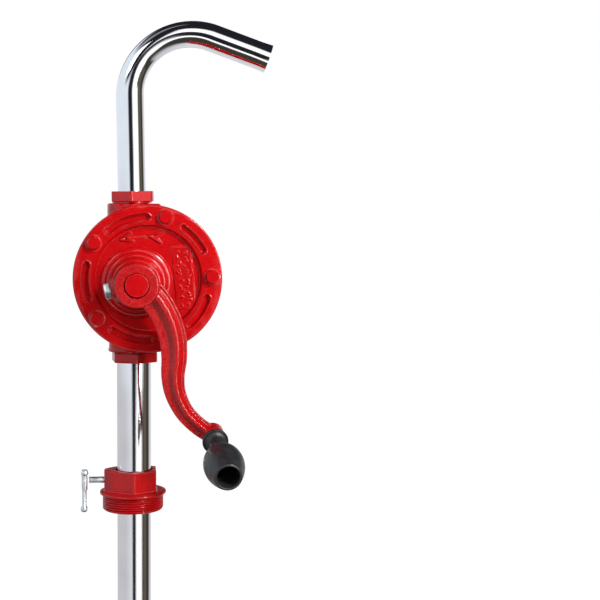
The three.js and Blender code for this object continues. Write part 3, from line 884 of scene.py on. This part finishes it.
def cover_height(x, z):
    """How far the cover's face stands in front of its web."""
    from_centre = np.hypot(x - DISC.x, z - DISC.z)
    from_shaft = np.hypot(x - SHAFT.x, z - SHAFT.z)
    height = (COVER_WEB - COVER_RIM) * step(from_centre, RIM_INNER_RADIUS, 2.6)
    inner_side = 1 - step(from_centre, RIM_INNER_RADIUS - 1, 2)
    height = height + rotation_arrows(x, z) * inner_side
    height = np.maximum(height, plate_pad(x, z))
    for radius, front in BOSS_STEPS:
        raised = (COVER_WEB - front) * rounded(radius - from_shaft, BOSS_ROUNDING)
        height = np.maximum(height, raised)
    for middle, half in RIM_SLOTS:
        distance = distance_to_arc(x, z, RIM_SLOT_RADIUS, middle, half)
        from_lip = np.abs(distance - RIM_SLOT_HALF_WIDTH - 0.9)
        height = height + ridge(from_lip, 0.5, RIM_SLOT_LIP, 0.9)
        height = height - ridge(distance, RIM_SLOT_HALF_WIDTH, RIM_SLOT_DEPTH, 1.1)
    for degrees in BOLT_ANGLES:
        bolt_x, bolt_z = on_disc(BOLT_CIRCLE, degrees)
        from_bolt = np.hypot(x - bolt_x, z - bolt_z)
        height = height + ridge(from_bolt, BOLT_PAD_RADIUS, BOLT_PAD_HEIGHT, 1.0)
    crowned = np.clip((from_centre - RIM_CROWN_START) / (COVER_RADIUS - RIM_CROWN_START), 0, 1)
    into_edge = np.clip(from_centre - (COVER_RADIUS - RIM_EDGE), 0, RIM_EDGE)
    rounding = RIM_EDGE - np.sqrt(np.maximum(RIM_EDGE ** 2 - into_edge ** 2, 0))
    return height - RIM_CROWN_DROP * crowned ** 2 - rounding


def unevenness(x, z):
    """The slight swell and sink of a sand casting, fading out at the disc's edge."""
    wave = [noise.noise(Vector((a, b, 0)) / UNEVEN_LENGTH) for a, b in zip(x, z)]
    from_centre = np.hypot(x - DISC.x, z - DISC.z)
    return UNEVEN_HEIGHT * np.array(wave) * (1 - step(from_centre, COVER_RADIUS - 2, 4))


def front_cover():
    """Rings from the centre out over the height field, then the last one back to the joint face."""
    sectors = 420
    face_radii = np.linspace(1.0, COVER_RADIUS - RIM_EDGE, 150)
    edge_radii = COVER_RADIUS - RIM_EDGE * (1 - np.sin(np.linspace(0.15, 1, 7) * math.pi / 2))
    radii = np.concatenate([face_radii, edge_radii])
    angles = around(sectors)
    rings = []
    for radius in radii:
        x = DISC.x + radius * np.cos(angles)
        z = DISC.z + radius * np.sin(angles)
        rings.append(np.column_stack([x, COVER_WEB - cover_height(x, z) - unevenness(x, z), z]))
    for y in (COVER_BACK - 6, COVER_BACK - 1, COVER_BACK):
        rings.append(np.column_stack([x, np.full(sectors, y), z]))
    cover = plain_object("cover", skin(rings))
    holes = [
        rod(ROTOR_RECESS_RADIUS, ROTOR_RECESS_FLOOR, COVER_BACK + 5),
        rod(BUSH_SEAT_RADIUS, BUSH_SEAT_FLOOR, COVER_BACK + 5),
        rod(SHAFT_HOLE_RADIUS, COVER_FRONT - 5, COVER_BACK),
    ]
    carve(cover, *(across(hole, SHAFT.x, SHAFT.z) for hole in holes))
    return finish_piece(cover, "pump", CHIPPED_RED, "red_enamel", "front_cover")


def cover_bolt(number, degrees):
    """A painted hexagon bolt, each turned a little differently, with its washer and shank."""
    x, z = on_disc(BOLT_CIRCLE, degrees)
    turn = 12 * number
    hexagon = hex_rings(
        BOLT_FLATS, 0, BOLT_HEAD_HEIGHT, turn=turn, chamfer=0.84, corner=1.0, edge=0.9,
    )
    washer = rod(BOLT_WASHER_RADIUS, -0.4, 0.6, 48, 0.3)
    shank = rod(BOLT_SHANK_RADIUS, -BOLT_SHANK_LENGTH, -0.2, 24)
    seat = (x, COVER_RIM, z)
    bolt = plain_object("bolt", *(aimed(part, FRONTWARD, seat) for part in (skin(hexagon), washer, shank)))
    return finish_piece(bolt, "pump", RED, "red_enamel", f"cover_bolt_{number}")


# ---- Crank and grip ----


def arm_section(half):
    """The arm's section: a flat flange, a crested rib, and a beaded edge on its outer side."""
    points = [
        (-half, ARM_BACK), (-half, ARM_FLANGE - 0.4), (-half * 0.40, ARM_FLANGE),
        (half * 0.06, ARM_CREST), (half * 0.32, ARM_CREST), (half * 0.78, ARM_SHOULDER),
        (half * 0.86, ARM_SHOULDER - 1.2), (half, ARM_SHOULDER - 0.7), (half, ARM_BACK),
    ]
    return softened(points, 1.1, steps=4)


def along_lug(shape):
    """Lays a shape built along +Z on the line of the lug, from the shaft's axis outwards."""
    angle = math.radians(LUG_ANGLE)
    root = Vector((SHAFT.x, (HUB_FRONT + HUB_BACK) / 2, SHAFT.z))
    return aimed(shape, Vector((math.cos(angle), 0, math.sin(angle))), root)


def crank_arm():
    line = through([(x, 0, z, half) for x, z, half in ARM_LINE], 8)
    sweep = skin(swept(line[:, :3], lambda i: arm_section(line[i, 3])))
    hub = across(rod(HUB_RADIUS, HUB_FRONT, HUB_BACK, 96, 1.8), SHAFT.x, SHAFT.z)
    lug_points, lug_faces = turned(softened(LUG_OUTLINE, 1, closed=False), 64)
    lug = along_lug((lug_points * np.array([1, LUG_THINNING, 1]), lug_faces))
    eye = aimed(rod(EYE_RADIUS, *EYE_ENDS, 64, 1.6), PIN_AXIS, PIN_ROOT)
    arm = plain_object("crank", sweep, hub, lug, eye)
    fuse(arm, voxel=0.6, smoothing=3)
    bore = across(rod(HUB_BORE, HUB_FRONT - 5, HUB_BACK + 5, 96), SHAFT.x, SHAFT.z)
    bolt_hole = along_lug(rod(LUG_HOLE_RADIUS, 0, 35, 32))
    pin_hole = aimed(rod(EYE_HOLE_RADIUS, -15, 15, 32), PIN_AXIS, PIN_ROOT)
    carve(arm, bore, bolt_hole, pin_hole)
    return finish_piece(arm, "crank", ROUGH_RED, "red_enamel", "crank_arm")


def crank_bolt():
    head = skin(hex_rings(CRANK_BOLT_FLATS, *CRANK_BOLT_HEAD, turn=30))
    shank = rod(CRANK_BOLT_RADIUS, *CRANK_BOLT_SHANK, 32)
    bolt = plain_object("crank_bolt_visual", along_lug(head), along_lug(shank))
    return finish_piece(bolt, "crank", ZINC, "zinc", "crank_bolt")


def rotor_shaft():
    """The rotor and its shaft, in one, up to the shaft's painted end."""
    drum = across(rod(ROTOR_RADIUS, ROTOR_FRONT, ROTOR_REAR, 128), SHAFT.x, SHAFT.z)
    shaft = across(rod(SHAFT_RADIUS, SHAFT_FRONT, -27, 96), SHAFT.x, SHAFT.z)
    rotor = plain_object("rotor", drum)
    towards = unit(np.array([DISC.x - SHAFT.x, DISC.z - SHAFT.z]))
    sideways = np.array([-towards[1], towards[0]])
    outline = []
    for a, b in ((-1, -1), (1, -1), (1, 1), (-1, 1)):
        outline.append(towards * VANE_SLOT_HALF_WIDTH * a + sideways * (ROTOR_RADIUS + 5) * b)
    carve(rotor, across(prism(outline, VANE_SLOT_FRONT, ROTOR_REAR + 8), SHAFT.x, SHAFT.z))
    rotor = join_objects(rotor, plain_object("shaft", shaft))
    return finish_piece(rotor, "crank", IRON, "cast_iron", "rotor_shaft")


def shaft_end():
    """The painted end of the shaft, just inside the crank's hub."""
    stub = rod(SHAFT_END_RADIUS, SHAFT_END_FRONT, SHAFT_FRONT, 96, 1.1)
    laid = across(stub, SHAFT.x + SHAFT_END_OFFSET, SHAFT.z + SHAFT_END_OFFSET)
    return finish_piece(plain_object("shaft_end", laid), "crank", RED, "red_enamel")


def grip():
    collar = softened(GRIP_COLLAR, 0.35, closed=False)
    bulb = through(GRIP_BULB, 8)
    mouth = softened(GRIP_MOUTH, 1.2, closed=False)
    profile = [(GRIP_BORE, GRIP_BACK), *collar, *bulb, *mouth[1:]]
    body = plain_object("grip", aimed(turned(profile, 112), PIN_AXIS, PIN_ROOT))
    return finish_piece(body, "grip", BLACK, "black_plastic", "grip", crease=50)


# ---- Outlet ----


def spout_stations():
    """Centre, heading and share of the bend's full flattening, from the spout's foot to its mouth."""
    stations = []
    for height in np.linspace(SPOUT_FOOT, SPOUT_RISE, 12, endpoint=False):
        stations.append(((0, 0, height), 0.0, 0.0))
    for turn in np.radians(np.linspace(0, BEND_DEGREES, 128)):
        centre = (BEND_RADIUS * (1 - math.cos(turn)), 0, SPOUT_RISE + BEND_RADIUS * math.sin(turn))
        stations.append((centre, turn, math.sin(math.pi * math.degrees(turn) / BEND_DEGREES)))
    last = math.radians(BEND_DEGREES)
    bend_end = np.array(stations[-1][0])
    for past in np.linspace(0, SPOUT_END, 24)[1:]:
        centre = bend_end + past * np.array([math.sin(last), 0, math.cos(last)])
        stations.append((tuple(centre), last, 0.0))
    return stations


def spout_ring(station, radius, left):
    """One ring of the tube, flattened in the bend and flared at the mouth; left is how far that is."""
    centre, turn, bending = station
    flare = SPOUT_FLARE * max(0.0, 1 - left / SPOUT_FLARE_LENGTH) ** 2
    angles = around(128)
    out = np.array([-math.cos(turn), 0, math.sin(turn)])
    side = np.array([0, 1, 0])
    flattened = np.where(np.cos(angles) > 0, BEND_FLATTENING_OUTSIDE, BEND_FLATTENING_INSIDE)
    radial = (radius * (1 - flattened * bending) + flare) * np.cos(angles)
    lateral = (radius * (1 + BEND_WIDENING * bending) + flare) * np.sin(angles)
    return np.array(centre) + radial[:, None] * out + lateral[:, None] * side


def spout():
    stations = spout_stations()
    ends = np.array([station[0] for station in stations])
    left = np.linalg.norm(ends[-1] - ends, axis=1)
    outer = [spout_ring(s, SPOUT_RADIUS, far) for s, far in zip(stations, left)]
    inner = [spout_ring(s, SPOUT_BORE, far) for s, far in zip(stations, left)]
    shape = skin([*outer, *reversed(inner)], closed=True)
    tube = plain_object("spout", aimed(shape, SPOUT_AXIS, SPOUT_ROOT))
    return finish_piece(tube, "spout", CHROME, "chrome", "spout")


def outlet_bushing():
    hexagon = hex_rings(
        OUTLET_FLATS, *OUTLET_HEXAGON, turn=26, chamfer=BUSHING_CHAMFER, corner=0.4, edge=0.6,
    )
    shape = hex_bushing(
        hexagon, OUTLET_THREAD_RADIUS, OUTLET_THREAD_FOOT, SPOUT_RADIUS + TUBE_CLEARANCE,
        off_centre=0.8, collar=OUTLET_COLLAR,
    )
    bushing = plain_object("outlet_bushing", aimed(shape, SPOUT_AXIS, SPOUT_ROOT))
    return finish_piece(bushing, "pump", RED, "red_enamel", "outlet_bushing")


# ---- Suction side ----


def inlet_bushing():
    """Built pointing up like the outlet's, then mirrored so that it hangs under the casing."""
    hexagon = hex_rings(
        INLET_FLATS, *INLET_HEXAGON, turn=37, chamfer=BUSHING_CHAMFER, corner=0.5, edge=0.8,
    )
    points, faces = hex_bushing(
        hexagon, INLET_THREAD_RADIUS, INLET_THREAD_FOOT, SUCTION_RADIUS + TUBE_CLEARANCE, off_centre=0.6,
    )
    hung = points * np.array([1, 1, -1]) + np.array([0, 0, CASING_BOTTOM])
    bushing = plain_object("inlet_bushing", (hung, faces))
    return finish_piece(bushing, "pump", RED, "red_enamel", "inlet_bushing")


def suction_tube():
    low, high = box_mm("suction_tube")
    tube = plain_object("suction_tube", sleeve(SUCTION_RADIUS, SUCTION_BORE, low.z, high.z, 128, 0.3))
    return finish_piece(tube, "pump", GRAINY_CHROME, "chrome", "suction_tube")


def extension_tube():
    low, high = box_mm("extension_tube")
    shoulder = high.z - EXTENSION_STOP_HEIGHT
    outline = [
        (EXTENSION_BORE, low.z), (EXTENSION_RADIUS, low.z), (EXTENSION_RADIUS, shoulder),
        (EXTENSION_STOP_RADIUS, shoulder), (EXTENSION_STOP_RADIUS, high.z), (EXTENSION_BORE, high.z),
    ]
    tube = plain_object("extension_tube", turned(softened(outline, 0.3), 128))
    return finish_piece(tube, "extension", CHROME, "chrome", "extension_tube")


def tube_collar():
    """The collar at the suction tube's foot, with a groove around it and a seat for its seal."""
    low, high = box_mm("tube_collar")
    foot, top = low.z, high.z
    seat = foot + COLLAR_SEAT_HEIGHT
    outline = [
        (COLLAR_BORE, foot), (COLLAR_RADIUS - 1, foot),
        (COLLAR_RADIUS, foot + 1), (COLLAR_RADIUS, foot + 4),
        (COLLAR_GROOVE_RADIUS, foot + 4.6), (COLLAR_GROOVE_RADIUS, foot + 6.4),
        (COLLAR_RADIUS, foot + 7), (COLLAR_RADIUS, top - 1), (COLLAR_RADIUS - 0.9, top),
        (COLLAR_SEAT_RADIUS, top), (COLLAR_SEAT_RADIUS, seat), (COLLAR_BORE, seat),
    ]
    collar = plain_object("collar", turned(softened(outline, 0.35), 128))
    return finish_piece(collar, "pump", ZINC, "zinc", "tube_collar")


# ---- Bung adapter ----


def adapter_outline():
    """A hexagon with one side drawn out into a lug for the clamp screw."""
    corner = ADAPTER_FLATS / math.sqrt(3)
    half_side = corner / 2
    side = ADAPTER_FLATS / 2
    return [
        (0, -corner), (side, -half_side), (side, half_side), (0, corner),
        (-side, half_side), (-ADAPTER_LUG_REACH, ADAPTER_LUG_HALF_WIDTH),
        (-ADAPTER_LUG_REACH, -ADAPTER_LUG_HALF_WIDTH), (-side, -half_side),
    ]


def bung_adapter():
    """The hexagon, its flange and the root of its thread, cast in one and bored through."""
    outline = softened(adapter_outline(), 1.2)
    block = prism(outline, FLANGE_THICKNESS - 1.5, ADAPTER_TOP)
    flange = shifted(rod(ADAPTER_FLANGE_RADIUS, 0, FLANGE_THICKNESS, 160, 1.0), FLANGE_OFFSET)
    root = shifted(rod(THREAD_ROOT - 0.4, THREAD_BOTTOM, 1, 128, 0.5), FLANGE_OFFSET)
    adapter = plain_object("adapter", block, flange, root)
    fuse(adapter, voxel=0.62, smoothing=3)
    hole = aimed(rod(SCREW_HOLE_RADIUS, 10, 35, 32), LEFTWARD, (0, 0, SCREW_HEIGHT))
    bore = rod(ADAPTER_BORE, THREAD_BOTTOM - 5, ADAPTER_TOP + 5, 128)
    under = rod(THREAD_INSIDE, THREAD_BOTTOM - 5, -1, 96)
    carve(adapter, bore, under, hole)
    return finish_piece(adapter, "bung", RED, "red_enamel", "bung_adapter")


def bung_thread():
    """The adapter's pipe thread: a band whose radius follows the helix."""
    angles = around(144)
    heights = np.arange(THREAD_BOTTOM + THREAD_STEP, -0.25, THREAD_STEP)
    rings = []
    for height in heights:
        phase = (height / THREAD_PITCH - angles / (2 * math.pi)) % 1
        tooth = np.clip(1.25 - 2.5 * np.abs(phase - 0.5), 0, 1)
        end_fade = min(1.0, (height - THREAD_BOTTOM) / THREAD_RUN_IN)
        radius = THREAD_ROOT + (THREAD_CREST - THREAD_ROOT) * tooth * end_fade
        rings.append(ring_at(radius, height))
    for height in (heights[-1], heights[0]):
        rings.append(ring_at(THREAD_ROOT - 1.2, height))
    thread = plain_object("bung_thread", shifted(skin(rings, closed=True), FLANGE_OFFSET))
    return finish_piece(thread, "bung", RED, "red_enamel", crease=60)


def clamp_screw():
    shank = rod(SCREW_RADIUS, *SCREW_SHANK, 48)
    head = rod(SCREW_HEAD_RADIUS, *SCREW_HEAD, 64, 1.7)
    root = (0, 0, SCREW_HEIGHT)
    screw = plain_object("clamp_screw", aimed(head, LEFTWARD, root), aimed(shank, LEFTWARD, root))
    bar = middle_mm("tommy_bar")
    carve(screw, shifted(rod(CROSS_HOLE_RADIUS, -10, 10, 32), bar.x, 0, SCREW_HEIGHT))
    return finish_piece(screw, "clamp_screw", ZINC, "zinc", "clamp_screw")


def tommy_bar():
    """A bar with a ball at its top and a stub at its foot, leaning in its loose hole."""
    low, high = box_mm("tommy_bar")
    stub = [
        (0, low.z), (2.6, low.z), (TOMMY_STUB_RADIUS, low.z + 1.2), (TOMMY_STUB_RADIUS, low.z + 4.2),
        (TOMMY_BAR_RADIUS, low.z + 6.5),
    ]
    radius = TOMMY_BALL_RADIUS
    slopes = np.radians(np.arange(-50, 81, 10))
    ball = [(radius * math.cos(a), high.z - radius + radius * math.sin(a)) for a in slopes]
    bar = middle_mm("tommy_bar")
    points, faces = turned([*stub, *ball, (0, high.z)], 48)
    lean = math.tan(math.radians(TOMMY_BAR_LEAN))
    points[:, 0] += (points[:, 2] - SCREW_HEIGHT) * lean
    piece = plain_object("tommy_bar", shifted((points, faces), bar.x, bar.y))
    return finish_piece(piece, "tommy_bar", ZINC, "zinc", "tommy_bar", crease=50)


# ---- Parts that keep their CAD shape ----


def paint_inner_parts():
    """Gives their materials to the parts inside, which keep their CAD meshes."""
    finishes = {
        RUBBER: ["cover_gasket", "shaft_seal", "outlet_seal", "inlet_seal", "collar_seal"],
        BRONZE: ["shaft_bush", "clamp_pad"],
        CARBON: ["vane_1", "vane_2"],
        STEEL: ["grip_pin"],
        IRON: ["vane_spring_1", "vane_spring_2"],
    }
    for material, nodes in finishes.items():
        for node in nodes:
            mesh = frame["nodes"][node].data
            mesh.materials.clear()
            mesh.materials.append(material)


# ---- Camera, stage and light ----


def camera():
    """A long lens in front of the pump, at the height of its outlet."""
    lens = bpy.data.cameras.new("camera")
    lens.lens = LENS_LENGTH
    lens.sensor_width = SENSOR_WIDTH
    lens.clip_end = 50
    view = added("camera", lens)
    view.location = CAMERA_PLACE
    yaw, pitch, roll = (math.radians(angle) for angle in (CAMERA_YAW, CAMERA_PITCH, CAMERA_ROLL))
    look = Matrix.Rotation(-yaw, 4, "Z") @ Matrix.Rotation(math.pi / 2 + pitch, 4, "X")
    view.rotation_euler = (look @ Matrix.Rotation(roll, 4, "Z")).to_euler()
    bpy.context.scene.camera = view


def floor():
    """A round of pale paper that glows enough to look white; the metal doesn't mirror it."""
    mesh = bpy.data.meshes.new("floor")
    angles = around(64)
    corners = [(FLOOR_RADIUS * math.cos(a), FLOOR_RADIUS * math.sin(a), FLOOR_HEIGHT) for a in angles]
    mesh.from_pydata(corners, [], [tuple(range(len(corners)))])
    ground = added("floor", mesh)
    paper = Shader("white paper")
    tone = paper.spread(paper.noise(3, 2), 0, 1)
    paper.set(
        Base_Color=paper.blend(tone, (0.28, 0.28, 0.28), (0.3, 0.3, 0.3)),
        Roughness=0.9, Specular_IOR_Level=0.0, Emission_Color=(1, 1, 1), Emission_Strength=FLOOR_GLOW,
    )
    ground.visible_glossy = False
    ground.visible_diffuse = False
    mesh.materials.append(paper.material)


def area_light(name, place, size, power):
    lamp = bpy.data.lights.new(name, "AREA")
    lamp.shape = "RECTANGLE"
    lamp.size, lamp.size_y = size
    lamp.energy = power
    light = added(name, lamp)
    light.location = place
    light.rotation_euler = (Vector(LIGHTS_AIM) - Vector(place)).to_track_quat("-Z", "Y").to_euler()


class Sky(NodeTree):
    """The studio as the metal sees it: a brightness for each direction, by bearing and elevation."""

    def __init__(self):
        world = bpy.data.worlds.new("studio")
        bpy.context.scene.world = world
        super().__init__(world)
        self.tree.nodes.clear()
        direction = self.node("TexCoord").outputs["Generated"]
        parts = self.node("SeparateXYZ", {"Vector": direction}).outputs
        front = self.math("MULTIPLY", parts["Y"], -1)
        self.bearing = self.math("ARCTAN2", parts["X"], front)
        self.elevation = self.math("ARCSINE", parts["Z"])

    def bands(self, stops):
        """A ring of brightness bands; each stop is a bearing in degrees and a brightness."""
        ramp = self.node("ValToRGB", {"Fac": self.mapped(self.bearing, -math.pi, math.pi)})
        elements = ramp.color_ramp.elements
        while len(elements) < len(stops):
            elements.new(0.5)
        for element, (degrees, colour) in zip(elements, stops):
            element.position = (degrees + 180) / 360
            element.color = (*colour, 1)
        return ramp.outputs["Color"]

    def above(self, low, high):
        """0 below the low elevation and 1 above the high one, in degrees, with a smooth change."""
        ends = (math.radians(low), math.radians(high))
        return self.mapped(self.elevation, *ends, interpolation_type="SMOOTHSTEP")

    def finish(self, colour):
        """The camera sees plain white; everything else sees the studio."""
        seen = self.node("Background", {"Color": (1, 1, 1)}).outputs[0]
        lit = self.node("Background", {"Color": colour}).outputs[0]
        eye = self.node("LightPath").outputs["Is Camera Ray"]
        mix = self.node("MixShader", {"Fac": eye, 1: lit, 2: seen})
        self.node("OutputWorld", {"Surface": mix.outputs[0]})


def studio_light():
    """Soft boxes left and right of a dark camera side, under a dark ceiling, over a dim table."""
    sky = Sky()
    colour = sky.bands(GROUND)
    for start, complete, stops in LAYERS:
        colour = sky.blend(sky.above(start, complete), colour, sky.bands(stops))
    sky.finish(colour)
    for light in LIGHTS:
        area_light(*light)
    bpy.context.scene.view_settings.view_transform = "Standard"


camera()
pump_casing()
front_cover()
for number, degrees in enumerate(BOLT_ANGLES, start=1):
    cover_bolt(number, degrees)
crank_arm()
crank_bolt()
rotor_shaft()
shaft_end()
grip()
spout()
outlet_bushing()
inlet_bushing()
suction_tube()
extension_tube()
tube_collar()
bung_adapter()
bung_thread()
clamp_screw()
tommy_bar()
paint_inner_parts()
floor()
studio_light()
